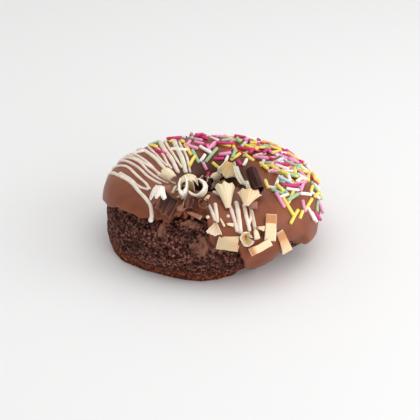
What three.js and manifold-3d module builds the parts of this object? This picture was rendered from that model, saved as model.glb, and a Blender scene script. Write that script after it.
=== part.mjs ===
// A baked ring doughnut of chocolate crumb cake. A milk chocolate coating hangs over its crest and
// its right side and leaves the crumb bare at the front left. White chocolate drizzle and sugar
// strands are set in the coating, and chocolate curls and toasted coconut chips are heaped at the
// front of the hole. Millimetres and degrees, +Z up, the flat base at Z = 0, the front towards -Y.
// The finished doughnut is moved so that the origin is in the middle of its footprint.
//
// A place on the ring is given by its azimuth (0 at +X, 90 at the back, -90 at the front) and by
// the tilt round the ring's tube (0 outside, 90 at the crest, 180 in the hole, -90 below).

import * as THREE from 'three';
import { mergeVertices } from 'three/addons/utils/BufferGeometryUtils.js';
import { ParametricGeometry } from 'three/addons/geometries/ParametricGeometry.js';
import Module from 'manifold-3d';

const wasm = await Module();
wasm.setup();

// Driving dimensions of the ring
const tubeRadius = 25.8;      // from the hole's axis to the middle of the tube
const tubeHeight = 11;        // the middle of the tube above the base
const reachOut = 16;          // tube, outwards
const reachIn = 16.2;         // tube, towards the hole
const riseUp = 16.2;          // tube, upwards
const dropDown = 15.5;        // tube, downwards, before the base cuts it flat
const topSquareness = 2.8;    // exponent of the section above the tube's middle
const baseSquareness = 3;     // and below it
const tuckStart = 14;         // height below which the side draws in towards the base
const tuckPower = 1.2;
const baseTucks = [           // azimuth, how far the side has drawn in at the base
  [-180, -0.4], [-165, -0.8], [-152, -0.5], [-137, 1.6], [-122, 3.3], [-97, 3.4], [-87, 4.7],
  [-78, 6.6], [-67, 10.2], [-58, 11.2], [-40, 10.5], [-24, 10], [-12, 6], [10, 4.5], [45, 3.2],
  [120, 3.2], [150, 2], [180, -0.4],
];
const notch = { azimuth: -43, width: 8, rise: 2, softer: 0.4 };   // between the drip and the skirt
const skirt = { azimuth: -25, width: 9, drop: 5 };                // where the coating hangs out furthest
const cragDepth = 0.9;        // deepest hollow in the bare crumb

// Driving dimensions of the coating
const gap = 0.5;              // between the crumb and the coating
const coatThickness = 2.1;
const lobeThickness = 0.8;    // added where the coating ran down in one big drip
const shoulderThickness = 0.4;
const thinnedSide = 0.9;      // taken off low on the left
const innerEdgeTilt = 196;    // where the coating ends, down in the hole
const lipFullness = 0.55;     // share of the thickness left at its rounded edges
const edgeInset = 2.5;        // degrees from an edge to the first row of its inside
const edgeHeights = [         // azimuth, height of the coating's lower edge
  [-180, 16.5], [-165, 19.3], [-150, 22.4], [-142, 23.2], [-134, 23], [-125, 24.2], [-117, 24],
  [-109, 26], [-98, 26.3], [-93, 26], [-90, 19], [-86, 17], [-77, 17], [-74, 12], [-71, 7],
  [-67, 4.4], [-61, 3.2], [-56, 3.2], [-53, 4.2], [-50, 6.5], [-47, 10], [-44, 12.8], [-40, 12],
  [-34, 9.4], [-28, 7.2], [-22, 6], [-15, 5.4], [0, 6], [30, 8], [60, 6.5], [90, 8], [120, 9],
  [150, 12], [180, 16.5],
];

// Sugar strands
const strandRadius = 0.7;
const strandLengths = [4.2, 8];
const strandCount = 111;
const strandSides = 4;
const strandSpacing = 2.2;    // between the middles of two in the same layer
const strandSink = 0.35;      // its middle above the coating, in radii
const strandStack = 1.3;      // added for one that lies on another, in radii
const strandSeed = 4060;
const strandsApart = [        // azimuth and tilt of both ends of those that lie apart
  // down the right of the front
  [-40, 72, -44, 51], [-40, 62, -42, 39], [-28, 61, -40, 54], [-36, 42, -46, 33], [-33, 38, -38, 33],
  [-28, 47, -32, 35], [-19, 40, -32, 37], [-27, 38, -26, 19], [-25, 29, -23, 14], [-22, 26, -16, 9],
  [-13, 30, -20, 24], [-25, 54, -17, 43], [-15, 45, -10, 30], [-2, 42, 0, 30], [5, 45, 4, 32],
  [18, 43, 10, 36], [16, 50, 14, 38],
  // beside the heap of curls
  [-38, 80, -34, 61], [-31, 76, -33, 60], [-29, 69, -22, 57], [-15, 86, -30, 82], [-23, 100, -37, 86],
  // down into the hole
  [52, 105, 30, 109], [58, 122, 52, 108], [38, 112, 32, 122], [48, 119, 36, 123], [65, 117, 64, 128],
  [88, 129, 71, 136], [81, 108, 98, 129], [86, 124, 69, 122], [76, 115, 64, 107], [105, 128, 100, 138],
  [109, 127, 98, 118], [47, 110, 50, 93], [113, 119, 135, 131], [114, 109, 113, 129],
  // over the drizzle at the back left
  [113, 66, 115, 88], [116, 94, 118, 116], [134, 60, 140, 82], [143, 82, 145, 101], [134, 57, 126, 60],
];

// White chocolate drizzle: azimuth and tilt of each line's points, and its width
const drizzleRise = 0.5;      // height above the coating, as a share of the width
const drizzleSink = 0.7;      // its underside below the coating
const drizzle = [
  { width: 1.5, points: [[166, 22], [172, 45], [-164, 68], [-144, 68], [-131, 61], [-124, 49.5]] },
  { width: 1.3, points: [[-179, 60], [-166, 70], [-152, 74], [-144, 79]] },
  { width: 1.2, points: [[158, 26], [168, 52], [178, 71], [-158, 83], [-144, 81]] },
  { width: 1.3, points: [[153, 28], [162, 56], [178, 81], [-163, 92], [-147, 99]] },
  { width: 1.2, points: [[149, 30], [160, 62], [170, 82], [-172, 95], [-146, 108]] },
  { width: 1.3, points: [[146, 32], [157, 63], [178, 97], [-161, 108], [-143, 116]] },
  { width: 1.2, points: [[142, 34], [155, 67], [170, 92], [-168, 107]] },
  { width: 1.8, points: [[137, 36], [146, 68], [158, 95], [176, 112]] },
  { width: 1.1, points: [[139, 66], [151, 92], [168, 114]] },
  { width: 1.1, points: [[134, 68], [147, 98], [170, 119]] },
  { width: 2.0, points: [[122, 48], [133, 80], [149, 111], [172, 128]] },
  { width: 1.2, points: [[122, 60], [136, 101], [152, 127]] },
  { width: 2.2, points: [[114, 44], [120, 77], [134, 115], [154, 135]] },
  { width: 1.1, points: [[116, 78], [126, 116], [141, 137]] },
  { width: 1.3, points: [[-92, 80], [-89, 62], [-87.5, 52]] },
  { width: 1.5, points: [[-87, 82], [-86.5, 50]] },
  { width: 1.4, points: [[-77, 76], [-77, 56], [-76.5, 38]] },
  { width: 1.8, points: [[-71, 82], [-74, 55], [-75, 36]] },
  { width: 1.5, points: [[-67, 74], [-69.5, 55], [-70, 37]] },
  { width: 1.1, points: [[-64, 68], [-66.5, 55], [-70, 44]] },
  { width: 0.9, points: [[-65, 60], [-67, 42], [-65.5, 28]] },
];

// Curls and shavings. Each is a thin sheet whose middle line runs from one end to the other: the
// radius and the arc of its roll at both ends, the side that its hollow faces, the number and the
// depth of the teeth along its second end, and how far the middle line bows. A tall one is
// stretched towards the side that its hollow faces.
const sheetThickness = 0.7;
const rolledArc = 250;        // from this arc on, a sheet is wound a little inside itself
const winding = 0.12;         // how much tighter its one side is wound, as a share of the radius
const towardsViewer = [0, -0.89, 0.45];
const curls = [
  { name: 'white_curl_1', from: [-14.6, -10.9, 31.7], to: [-18.9, -7.9, 34], faces: [0.1, 0.3, -1],
    radii: [1.9, 2.7], arcs: [170, 150], teeth: 2, tooth: 0.8, bow: 0.8 },
  { name: 'white_curl_2', from: [-10.6, -25.7, 29.8], to: [-10.9, -28.2, 33.3], faces: [0, 0.45, 0.89],
    radii: [1.6, 1.6], arcs: [300, 300], teeth: 0, tooth: 0, bow: 0, stretch: 2.5 },
  { name: 'white_curl_3', from: [-2.2, -24.1, 31.3], to: [-3.5, -28.1, 34.1], faces: [-0.79, 0.28, 0.54],
    radii: [3.1, 3.1], arcs: [230, 230], teeth: 2, tooth: 0.6, bow: 0 },
  { name: 'white_curl_4', from: [-19.4, -28.5, 36.8], to: [-20.2, -33.5, 33.6], faces: [0.2, 0.3, -1],
    radii: [2.2, 4], arcs: [120, 115], teeth: 3, tooth: 1.4, bow: 0.6 },
  { name: 'white_curl_5', from: [6.3, -33, 29.8], to: [5.1, -19.5, 34.2], faces: [0, 0.4, -0.9],
    radii: [1, 4.8], arcs: [110, 110], teeth: 3, tooth: 1.2, bow: 0.6 },
  { name: 'white_curl_6', from: [12.8, -36.2, 32.3], to: [14.6, -24.2, 33.7], faces: [0, 0.4, -0.9],
    radii: [1, 5.6], arcs: [110, 115], teeth: 4, tooth: 1.2, bow: 0.6 },
  { name: 'white_curl_7', from: [7.7, 10.8, 28], to: [6.2, 4.6, 23.8], faces: towardsViewer,
    radii: [1.6, 4.4], arcs: [190, 180], teeth: 3, tooth: 1, bow: 0 },
  { name: 'white_curl_8', from: [3.6, 6.7, 25.4], to: [-0.2, 6.3, 23.5], faces: [0, 0.5, -0.9],
    radii: [1.2, 1.5], arcs: [230, 240], teeth: 2, tooth: 0.8, bow: 0 },
  { name: 'white_curl_9', from: [1.6, -39.4, 26.7], to: [0.9, -42.6, 23.1], faces: towardsViewer,
    radii: [0.8, 8.5], arcs: [60, 42], teeth: 1, tooth: 0.8, bow: 0 },
  { name: 'white_curl_10', from: [12.2, -40.6, 21.8], to: [10.3, -43.4, 22.6], faces: [1, 0, 0],
    radii: [0.6, 3], arcs: [335, 335], teeth: 5, tooth: 0.8, bow: 0 },
  { name: 'white_curl_11', from: [-9.1, -9.4, 32.2], to: [-9, -17.4, 33.3], faces: [0.2, 0, -1],
    radii: [3.4, 3.7], arcs: [170, 160], teeth: 2, tooth: 1, bow: 0.6 },
  { name: 'striped_curl_1', from: [9.6, 4.3, 29.5], to: [12.9, -14.7, 29.8], faces: [0.4, -0.6, 0.7],
    radii: [3, 4], arcs: [50, 50], teeth: 2, tooth: 0.8, bow: 0.8 },
  { name: 'striped_curl_2', from: [-3.2, 6.4, 20.1], to: [-3.2, 2.2, 22.1], faces: [0.2, 0.4, 0.9],
    radii: [2, 2.1], arcs: [320, 320], teeth: 0, tooth: 0, bow: 0 },
  { name: 'dark_curl_1', from: [17.8, -24.6, 34.3], to: [14.9, -16.7, 39.2], faces: [0, 0.5, -0.87],
    radii: [2.5, 2.2], arcs: [330, 330], teeth: 0, tooth: 0, bow: 0 },
  { name: 'dark_curl_2', from: [-15, -26.6, 31.4], to: [-18.3, -38.1, 29.6], faces: [0.5, -0.5, 0.7],
    radii: [6, 9], arcs: [60, 46], teeth: 2, tooth: 1, bow: 0 },
  { name: 'dark_curl_3', from: [-7.8, -28.6, 31.5], to: [-8, -33.6, 29.9], faces: [0, 0.3, -1],
    radii: [2.2, 2.6], arcs: [150, 130], teeth: 1, tooth: 0.8, bow: 0 },
  { name: 'dark_curl_4', from: [-3.1, -32.4, 29.1], to: [-3.1, -36.4, 31.1], faces: [0.1, 0.4, 0.9],
    radii: [2, 2.1], arcs: [310, 310], teeth: 0, tooth: 0, bow: 0 },
  { name: 'dark_curl_5', from: [-1.4, -15.1, 28.2], to: [-2.9, -19.3, 33], faces: [0, 0.79, 0.62],
    radii: [1.65, 1.65], arcs: [320, 320], teeth: 0, tooth: 0, bow: 0 },
  { name: 'milk_curl_1', from: [-18.8, -22.5, 32.5], to: [-15.5, -22.5, 33], faces: [0, 0.5, -0.9],
    radii: [1.5, 1.5], arcs: [250, 250], teeth: 0, tooth: 0, bow: 0 },
  { name: 'milk_curl_2', from: [14.5, -32.1, 31], to: [17, -31.9, 30.9], faces: [0, 0.5, -0.9],
    radii: [1.2, 1.2], arcs: [230, 230], teeth: 0, tooth: 0, bow: 0 },
];

// Toasted coconut chips: thin strips from one end to the other, their widths at both ends and how
// far they bow
const chipThickness = 0.8;
const chips = [
  { from: [22.4, -33.3, 27.3], to: [21.8, -39.7, 19.4], widths: [4, 4.3], bow: 0.3, lean: 0 },
  { from: [14.3, -44.1, 16.8], to: [22.1, -40.9, 19.6], widths: [3, 2.7], bow: 0.3, lean: 0.1 },
  { from: [25.4, -35.7, 21.3], to: [28.8, -34.1, 11.5], widths: [2.8, 4.2], bow: 0.6, lean: 0.2 },
  { from: [4, -42, 21.9], to: [10.1, -41.8, 20.5], widths: [0.9, 3.6], bow: 0.3, lean: -0.2 },
  { from: [2.2, -44.9, 21.5], to: [10, -44.1, 18.5], widths: [4.6, 2.4], bow: 0.3, lean: 0.2 },
  { from: [16.9, -38.3, 24.3], to: [19.7, -37.9, 23.6], widths: [0.7, 2.1], bow: 0.2, lean: 0 },
];

// How finely the solids are faceted
const bareRows = 5;           // up the bare side to the coating's edge
const sharedRows = 7;         // under the coating, the same for the crumb and the coating's inside
const holeRows = 2;           // from the coating's end down to the base in the hole
const coatRows = 9;           // over the coating's outside
const fineStep = 4;           // degrees between the columns in front, where the edge is uneven
const coarseStep = 8;
const frontSector = [-132, -20];
const curlCells = { round: 6, along: 3 };
const chipCells = 3;

const colours = {
  crumb: 0x4a2a24,
  coating: 0x87563f,
  white: 0xeee0bc,
  striped: 0xd9cdb8,
  dark: 0x33201f,
  milk: 0x8a5236,
  coconut: 0xe9cf9c,
};

const rad = THREE.MathUtils.degToRad;
const { clamp, lerp, euclideanModulo } = THREE.MathUtils;
const wrap = (angle) => euclideanModulo(angle + 180, 360) - 180;
const bump = (angle, middle, width) => Math.exp(-((wrap(angle - middle) / width) ** 2));
const plateau = (angle, middle, width) => Math.exp(-((wrap(angle - middle) / width) ** 4));

// A value between the rows of a table, which go once round from azimuth -180 to 180
function valueAt(table, azimuth) {
  const at = wrap(azimuth);
  const next = Math.max(1, table.findIndex(([angle]) => angle >= at));
  const [fromAngle, fromValue] = table[next - 1];
  const [toAngle, toValue] = table[next];
  return lerp(fromValue, toValue, THREE.MathUtils.smoothstep(at, fromAngle, toAngle));
}

// How far the side draws in at a height: least at the left, most at the right of the front
function tuckAt(azimuth, height) {
  const start = tuckStart + notch.rise * bump(azimuth, notch.azimuth, notch.width)
    - skirt.drop * plateau(azimuth, skirt.azimuth, skirt.width);
  const power = tuckPower - notch.softer * bump(azimuth, notch.azimuth, notch.width);
  return valueAt(baseTucks, azimuth) * clamp((start - height) / start, 0, 1) ** power;
}

// The crest stands a little higher at the back and at the left
function crestLift(azimuth) {
  return 0.9 * bump(azimuth, 110, 60) + 0.9 * bump(azimuth, 165, 40);
}

// Radius from the hole's axis and height of the ring's surface, or of a surface lifted off it
function section(azimuth, tilt, lift = 0) {
  const across = Math.cos(rad(tilt));
  const up = Math.sin(rad(tilt));
  const halfWidth = across > 0 ? reachOut : reachIn;
  const halfHeight = up > 0 ? riseUp + crestLift(azimuth) : dropDown;
  const power = up > 0 ? topSquareness : baseSquareness;
  const sum = Math.abs(across / halfWidth) ** power + Math.abs(up / halfHeight) ** power;
  const reach = sum ** (-1 / power) + lift;
  const height = tubeHeight + reach * up;
  const drawnIn = across > 0 ? tuckAt(azimuth, height) : 0;
  return { radius: tubeRadius + reach * across - drawnIn, height };
}

function ringPoint(azimuth, tilt, lift = 0) {
  const { radius, height } = section(azimuth, tilt, lift);
  return new THREE.Vector3(
    radius * Math.cos(rad(azimuth)), radius * Math.sin(rad(azimuth)), Math.max(height, 0));
}

// The tilt at which one side of the ring passes a height
function tiltAtHeight(azimuth, height, lowTilt, highTilt) {
  let below = lowTilt;
  let above = highTilt;
  for (let step = 0; step < 40; step++) {
    const middle = (below + above) / 2;
    if (section(azimuth, middle).height < height) {
      below = middle;
    } else {
      above = middle;
    }
  }
  return (below + above) / 2;
}

const outerTilt = (azimuth, height) => tiltAtHeight(azimuth, height, -85, 90);
const innerTilt = (azimuth, height) => tiltAtHeight(azimuth, height, 265, 90);

const edgeHeight = (azimuth) => valueAt(edgeHeights, azimuth);

function coatThicknessAt(azimuth, tilt) {
  return coatThickness + shoulderThickness * bump(tilt, 42, 22) * bump(azimuth, 178, 40)
    - thinnedSide * bump(tilt, 8, 16) * bump(azimuth, 184, 36)
    + lobeThickness * bump(azimuth, -60, 12) * bump(tilt, -15, 30);
}

const coatPoint = (azimuth, tilt, lift = 0) =>
  ringPoint(azimuth, tilt, coatThicknessAt(azimuth, tilt) + lift);

// Azimuths of the columns of facets, closer together in front
function columnAzimuths() {
  const list = [];
  let azimuth = frontSector[0];
  while (azimuth < frontSector[0] + 360) {
    list.push(azimuth);
    azimuth += azimuth < frontSector[1] ? fineStep : coarseStep;
  }
  return list;
}

const columns = columnAzimuths();

// Hollows of the bare crumb, from waves that don't repeat in step
function crag(azimuth, height) {
  const first = Math.sin(azimuth * 0.31 + height * 0.9);
  const second = Math.sin(azimuth * 0.53 - height * 1.7 + 2);
  const third = Math.sin(azimuth * 1.07 + height * 0.6 + 4);
  return cragDepth * clamp((first + second + third + 1) / 3, 0, 1);
}

// A closed ring of facets: sectionPoint gives the point of a row in the section at a column
function ringGeometry(rowCount, sectionPoint) {
  const place = (u, v, target) => {
    const column = Math.round(u * columns.length) % columns.length;
    const row = Math.round(v * rowCount) % rowCount;
    target.copy(sectionPoint(columns[column], row));
  };
  return solidOf(new ParametricGeometry(place, columns.length, rowCount));
}

// Only positions, with shared corners, and facets turned outwards
function solidOf(geometry) {
  const bare = geometry.clone();
  bare.deleteAttribute('normal');
  bare.deleteAttribute('uv');
  const merged = withoutSlivers(mergeVertices(bare, 1e-5));
  if (signedVolume(merged) < 0) {
    const index = merged.getIndex().array;
    for (let i = 0; i < index.length; i += 3) {
      [index[i], index[i + 1]] = [index[i + 1], index[i]];
    }
  }
  return merged;
}

// Facets whose corners merged into one another are dropped
function withoutSlivers(geometry) {
  const index = Array.from(geometry.getIndex().array);
  const kept = [];
  for (let i = 0; i < index.length; i += 3) {
    const [a, b, c] = index.slice(i, i + 3);
    if (a !== b && b !== c && c !== a) {
      kept.push(a, b, c);
    }
  }
  geometry.setIndex(kept);
  return geometry;
}

function signedVolume(geometry) {
  const position = geometry.getAttribute('position');
  const index = geometry.getIndex().array;
  const [a, b, c] = [new THREE.Vector3(), new THREE.Vector3(), new THREE.Vector3()];
  let total = 0;
  for (let i = 0; i < index.length; i += 3) {
    a.fromBufferAttribute(position, index[i]);
    b.fromBufferAttribute(position, index[i + 1]);
    c.fromBufferAttribute(position, index[i + 2]);
    total += a.dot(b.cross(c)) / 6;
  }
  return total;
}

// Tilts of the rows that the crumb and the inside of the coating share, from the edge to the hole
function sharedTilt(azimuth, row) {
  const edgeTilt = outerTilt(azimuth, edgeHeight(azimuth));
  return lerp(edgeTilt + edgeInset, innerEdgeTilt - edgeInset, row / (sharedRows - 1));
}

// The crumb cake, bare in front up to the coating's edge
function cakeGeometry() {
  const rowCount = bareRows + sharedRows + holeRows;
  return ringGeometry(rowCount, (azimuth, row) => {
    if (row < bareRows) {
      const share = row / bareRows;
      const tilt = lerp(outerTilt(azimuth, 0), sharedTilt(azimuth, 0), share);
      const height = section(azimuth, tilt).height;
      const hollow = row > 0 ? -crag(azimuth, height) : 0;
      return row > 0 ? ringPoint(azimuth, tilt, hollow) : basePoint(azimuth, tilt);
    }
    const under = row - bareRows;
    if (under < sharedRows) {
      return ringPoint(azimuth, sharedTilt(azimuth, under));
    }
    const baseTilt = innerTilt(azimuth, 0);
    const share = (under - sharedRows + 1) / holeRows;
    const tilt = lerp(sharedTilt(azimuth, sharedRows - 1), baseTilt, share);
    return share < 1 ? ringPoint(azimuth, tilt) : basePoint(azimuth, baseTilt);
  });
}

const basePoint = (azimuth, tilt) => ringPoint(azimuth, tilt).setZ(0);

// The coating's section: its inside from the lower edge to the hole, then its outside back again
function coatingGeometry() {
  return ringGeometry(sharedRows + coatRows, (azimuth, row) => {
    if (row < sharedRows) {
      return ringPoint(azimuth, sharedTilt(azimuth, row), gap);
    }
    const edgeTilt = outerTilt(azimuth, edgeHeight(azimuth));
    const back = row - sharedRows;
    const tilt = lerp(innerEdgeTilt, edgeTilt, back / (coatRows - 1));
    const fullness = back === 0 || back === coatRows - 1 ? lipFullness : 1;
    return ringPoint(azimuth, tilt, lerp(gap, coatThicknessAt(azimuth, tilt), fullness));
  });
}

// The point of the faceted coating straight out from the middle of the tube, and outwards there
function onCoating(bareCoat, azimuth, tilt) {
  const middle = new THREE.Vector3(
    tubeRadius * Math.cos(rad(azimuth)), tubeRadius * Math.sin(rad(azimuth)), tubeHeight);
  const out = ringPoint(azimuth, tilt).sub(middle).normalize();
  const hits = new THREE.Raycaster(middle, out, 0, tubeRadius).intersectObject(bareCoat);
  return { point: hits[hits.length - 1].point, out };
}

// A line of drizzle: a ridge that follows the coating, its underside sunk in it
function drizzleGeometry(bareCoat, { width, points }) {
  const angles = points.map(([azimuth, tilt]) => new THREE.Vector2(azimuth, tilt));
  for (let i = 1; i < angles.length; i++) {
    angles[i].x = angles[i - 1].x + wrap(angles[i].x - angles[i - 1].x);
  }
  const course = new THREE.SplineCurve(angles);
  const placeAt = (share) => {
    const { x, y } = course.getPointAt(clamp(share, 0, 1));
    return onCoating(bareCoat, x, y);
  };
  const steps = 2 * (points.length - 1);
  const box = new THREE.BoxGeometry(2, 1, 1, 1, steps, 1);
  const position = box.getAttribute('position');
  for (let i = 0; i < position.count; i++) {
    const share = position.getY(i) + 0.5;
    const { point, out } = placeAt(share);
    const along = placeAt(share + 0.02).point.sub(placeAt(share - 0.02).point);
    const across = along.cross(out).normalize();
    const top = position.getZ(i) > 0;
    point.addScaledVector(across, top ? 0 : position.getX(i) * width);
    point.addScaledVector(out, top ? width * drizzleRise : -drizzleSink);
    position.setXYZ(i, point.x, point.y, point.z);
  }
  return solidOf(box);
}

// Park and Miller's random numbers, so that the strands fall the same way each time
function makeRandom(seed) {
  let state = seed;
  return () => {
    state = (state * 16807) % 2147483647;
    return state / 2147483647;
  };
}

// How thickly the others lie: over the back and the right, thinning towards the hole, the heap
// of curls and the foot of the front
function strandDensity(azimuth, tilt) {
  const { smoothstep } = THREE.MathUtils;
  const at = wrap(azimuth);
  const outside = 1 - 0.85 * plateau(tilt, 150, 45);
  const foot = 1 - 0.95 * (1 - smoothstep(at, -22, 25)) * (1 - smoothstep(tilt, 50, 64));
  const heap = 1 - (1 - smoothstep(at, -8, 10)) * smoothstep(tilt, 86, 96);
  return plateau(azimuth, 42, 78) * outside * foot * heap;
}

// A strand given by its two ends, as one given by its middle, its turn from level and its length
function strandBetween([fromAzimuth, fromTilt, toAzimuth, toTilt]) {
  const from = coatPoint(fromAzimuth, fromTilt);
  const to = coatPoint(toAzimuth, toTilt);
  const azimuth = (fromAzimuth + toAzimuth) / 2;
  const tilt = (fromTilt + toTilt) / 2;
  const line = to.sub(from);
  const level = new THREE.Vector3(-Math.sin(rad(azimuth)), Math.cos(rad(azimuth)), 0);
  const upSlope = coatPoint(azimuth, tilt + 1).sub(coatPoint(azimuth, tilt)).normalize();
  const turn = THREE.MathUtils.radToDeg(Math.atan2(line.dot(upSlope), line.dot(level)));
  return { azimuth, tilt, turn, length: line.length() };
}

// Each strand: its middle on the coating, its direction and its length
function strandPlaces() {
  const random = makeRandom(strandSeed);
  const placed = [];
  for (const strand of strandsApart.map(strandBetween)) {
    const middle = coatPoint(strand.azimuth, strand.tilt);
    const near = placed.filter((other) => other.middle.distanceTo(middle) < strandSpacing).length;
    placed.push({ ...strand, middle, layer: Math.min(near, 1) });
  }
  while (placed.length < strandCount) {
    const azimuth = random() * 360 - 180;
    const tilt = 12 + random() * 150;
    const turn = random() * 180;
    const length = lerp(strandLengths[0], strandLengths[1], random());
    const chance = random();
    const spread = section(azimuth, tilt).radius / (tubeRadius + reachOut);
    if (chance > strandDensity(azimuth, tilt) * spread) {
      continue;
    }
    const middle = coatPoint(azimuth, tilt);
    const near = placed.filter((other) => other.middle.distanceTo(middle) < strandSpacing).length;
    if (near > 1) {
      continue;
    }
    placed.push({ azimuth, tilt, turn, length, middle, layer: near });
  }
  return placed;
}

function strandGeometry(bareCoat, { azimuth, tilt, turn, length, layer }) {
  const { point: middle, out } = onCoating(bareCoat, azimuth, tilt);
  middle.addScaledVector(out, strandRadius * (strandSink + strandStack * layer));
  const along = new THREE.Vector3(-Math.sin(rad(azimuth)), Math.cos(rad(azimuth)), 0);
  const up = out.clone().cross(along);
  const direction = along.multiplyScalar(Math.cos(rad(turn))).addScaledVector(up, Math.sin(rad(turn)));
  const geometry = new THREE.CylinderGeometry(strandRadius, strandRadius, length, strandSides);
  const stand = new THREE.Quaternion().setFromUnitVectors(new THREE.Vector3(0, 1, 0), direction.normalize());
  geometry.applyQuaternion(stand);
  geometry.translate(middle.x, middle.y, middle.z);
  return solidOf(geometry);
}

function toManifold(geometry) {
  const position = geometry.getAttribute('position');
  return new wasm.Manifold(new wasm.Mesh({
    numProp: 3,
    vertProperties: new Float32Array(position.array),
    triVerts: new Uint32Array(geometry.getIndex().array),
  }));
}

function fromManifold(solid) {
  const mesh = solid.getMesh();
  const geometry = new THREE.BufferGeometry();
  geometry.setAttribute('position', new THREE.BufferAttribute(mesh.vertProperties, 3));
  geometry.setIndex(new THREE.BufferAttribute(mesh.triVerts, 1));
  return geometry;
}

function joined(pieces) {
  let solid = toManifold(pieces[0]);
  for (const piece of pieces.slice(1)) {
    solid = solid.add(toManifold(piece));
  }
  return largestShell(fromManifold(solid));
}

// The shell with the most facets: this fills hollows that joining sealed and drops loose scraps
function largestShell(geometry) {
  const index = Array.from(geometry.getIndex().array);
  const parent = Array.from({ length: geometry.getAttribute('position').count }, (_, i) => i);
  const rootOf = (i) => {
    while (parent[i] !== i) {
      parent[i] = parent[parent[i]];
      i = parent[i];
    }
    return i;
  };
  for (let i = 0; i < index.length; i += 3) {
    parent[rootOf(index[i])] = rootOf(index[i + 1]);
    parent[rootOf(index[i + 1])] = rootOf(index[i + 2]);
  }
  const shells = new Map();
  for (let i = 0; i < index.length; i += 3) {
    const root = rootOf(index[i]);
    shells.set(root, [...(shells.get(root) ?? []), ...index.slice(i, i + 3)]);
  }
  const largest = [...shells.values()].reduce((a, b) => (b.length > a.length ? b : a));
  geometry.setIndex(largest);
  return geometry;
}

// Axes of a sheet: along its line, across it, and towards the side that its hollow faces
function sheetFrame(from, to, faces) {
  const start = new THREE.Vector3(...from);
  const along = new THREE.Vector3(...to).sub(start);
  const length = along.length();
  along.normalize();
  const across = along.clone().cross(new THREE.Vector3(...faces)).normalize();
  const out = across.clone().cross(along);
  return { start, length, matrix: new THREE.Matrix4().makeBasis(across, along, out) };
}

// A rolled sheet, from a box whose cells are bent round the roll
function curlGeometry({ from, to, faces, radii, arcs, teeth, tooth, bow, stretch = 1 }) {
  const { start, length, matrix } = sheetFrame(from, to, faces);
  const { round, along } = curlCells;
  const cells = arcs[0] > 200 ? 2 * round : round;
  const box = new THREE.BoxGeometry(2, 1, 2, cells, 1, teeth > 0 ? along : 1);
  const position = box.getAttribute('position');
  for (let i = 0; i < position.count; i++) {
    const side = position.getX(i);
    const share = (position.getZ(i) + 1) / 2;
    const angle = side * rad(lerp(arcs[0], arcs[1], share)) / 2;
    const middle = lerp(radii[0], radii[1], share);
    const tighter = arcs[0] > rolledArc ? winding * (side + 1) : 0;
    const radius = middle * (1 - tighter) + position.getY(i) * sheetThickness;
    const cutBack = tooth * (Math.cos(Math.PI * teeth * side) - 1) / 2 * share ** 2;
    const x = radius * Math.sin(angle);
    const y = length * share + cutBack;
    const z = stretch * (middle - radius * Math.cos(angle)) - 4 * bow * share * (1 - share);
    const point = new THREE.Vector3(x, y, z).applyMatrix4(matrix).add(start);
    position.setXYZ(i, point.x, point.y, point.z);
  }
  return solidOf(box);
}

// A coconut chip: a strip bowed outwards, its line leaning over the coating
function chipGeometry({ from, to, widths, bow, lean }) {
  const faces = [towardsViewer[0] + lean, towardsViewer[1], towardsViewer[2]];
  const { start, length, matrix } = sheetFrame(from, to, faces);
  const box = new THREE.BoxGeometry(1, 1, chipThickness, 1, chipCells, 1);
  const position = box.getAttribute('position');
  for (let i = 0; i < position.count; i++) {
    const share = position.getY(i) + 0.5;
    const width = lerp(widths[0], widths[1], share);
    const z = position.getZ(i) + 4 * bow * share * (1 - share);
    const point = new THREE.Vector3(position.getX(i) * width, length * share, z);
    point.applyMatrix4(matrix).add(start);
    position.setXYZ(i, point.x, point.y, point.z);
  }
  return solidOf(box);
}

function nodeMesh(name, geometry, colour, roughness) {
  const material = new THREE.MeshStandardMaterial({ color: colour, roughness, metalness: 0 });
  const mesh = new THREE.Mesh(geometry, material);
  mesh.name = name;
  return mesh;
}

const doughnut = new THREE.Group();
doughnut.add(nodeMesh('cake', cakeGeometry(), colours.crumb, 0.9));

const bareCoat = new THREE.Mesh(coatingGeometry(), new THREE.MeshBasicMaterial({ side: THREE.DoubleSide }));
const toppedCoat = joined([
  bareCoat.geometry,
  ...drizzle.map((line) => drizzleGeometry(bareCoat, line)),
  ...strandPlaces().map((strand) => strandGeometry(bareCoat, strand)),
]);
doughnut.add(nodeMesh('coating', toppedCoat, colours.coating, 0.4));

const heap = new THREE.Group();
for (const curl of curls) {
  const kind = curl.name.split('_')[0];
  heap.add(nodeMesh(curl.name, curlGeometry(curl), colours[kind], 0.5));
}
chips.forEach((chip, i) => {
  heap.add(nodeMesh(`coconut_chip_${i + 1}`, chipGeometry(chip), colours.coconut, 0.7));
});
doughnut.add(heap);

const extent = new THREE.Box3().setFromObject(doughnut);
const middle = extent.getCenter(new THREE.Vector3());
doughnut.position.set(-middle.x, -middle.y, 0);

export default doughnut;
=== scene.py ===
# Ring doughnut of chocolate crumb cake: milk chocolate coating, white drizzle, sugar strands, rolled
# chocolate curls and toasted coconut chips. Shapes are worked out in millimetres round the ring and
# put into the frame in metres.
from math import atan2, copysign, cos, degrees, exp, hypot, pi, radians, sin, sqrt, tau

import bmesh
import bpy
from mathutils import Matrix, Vector, noise


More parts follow.
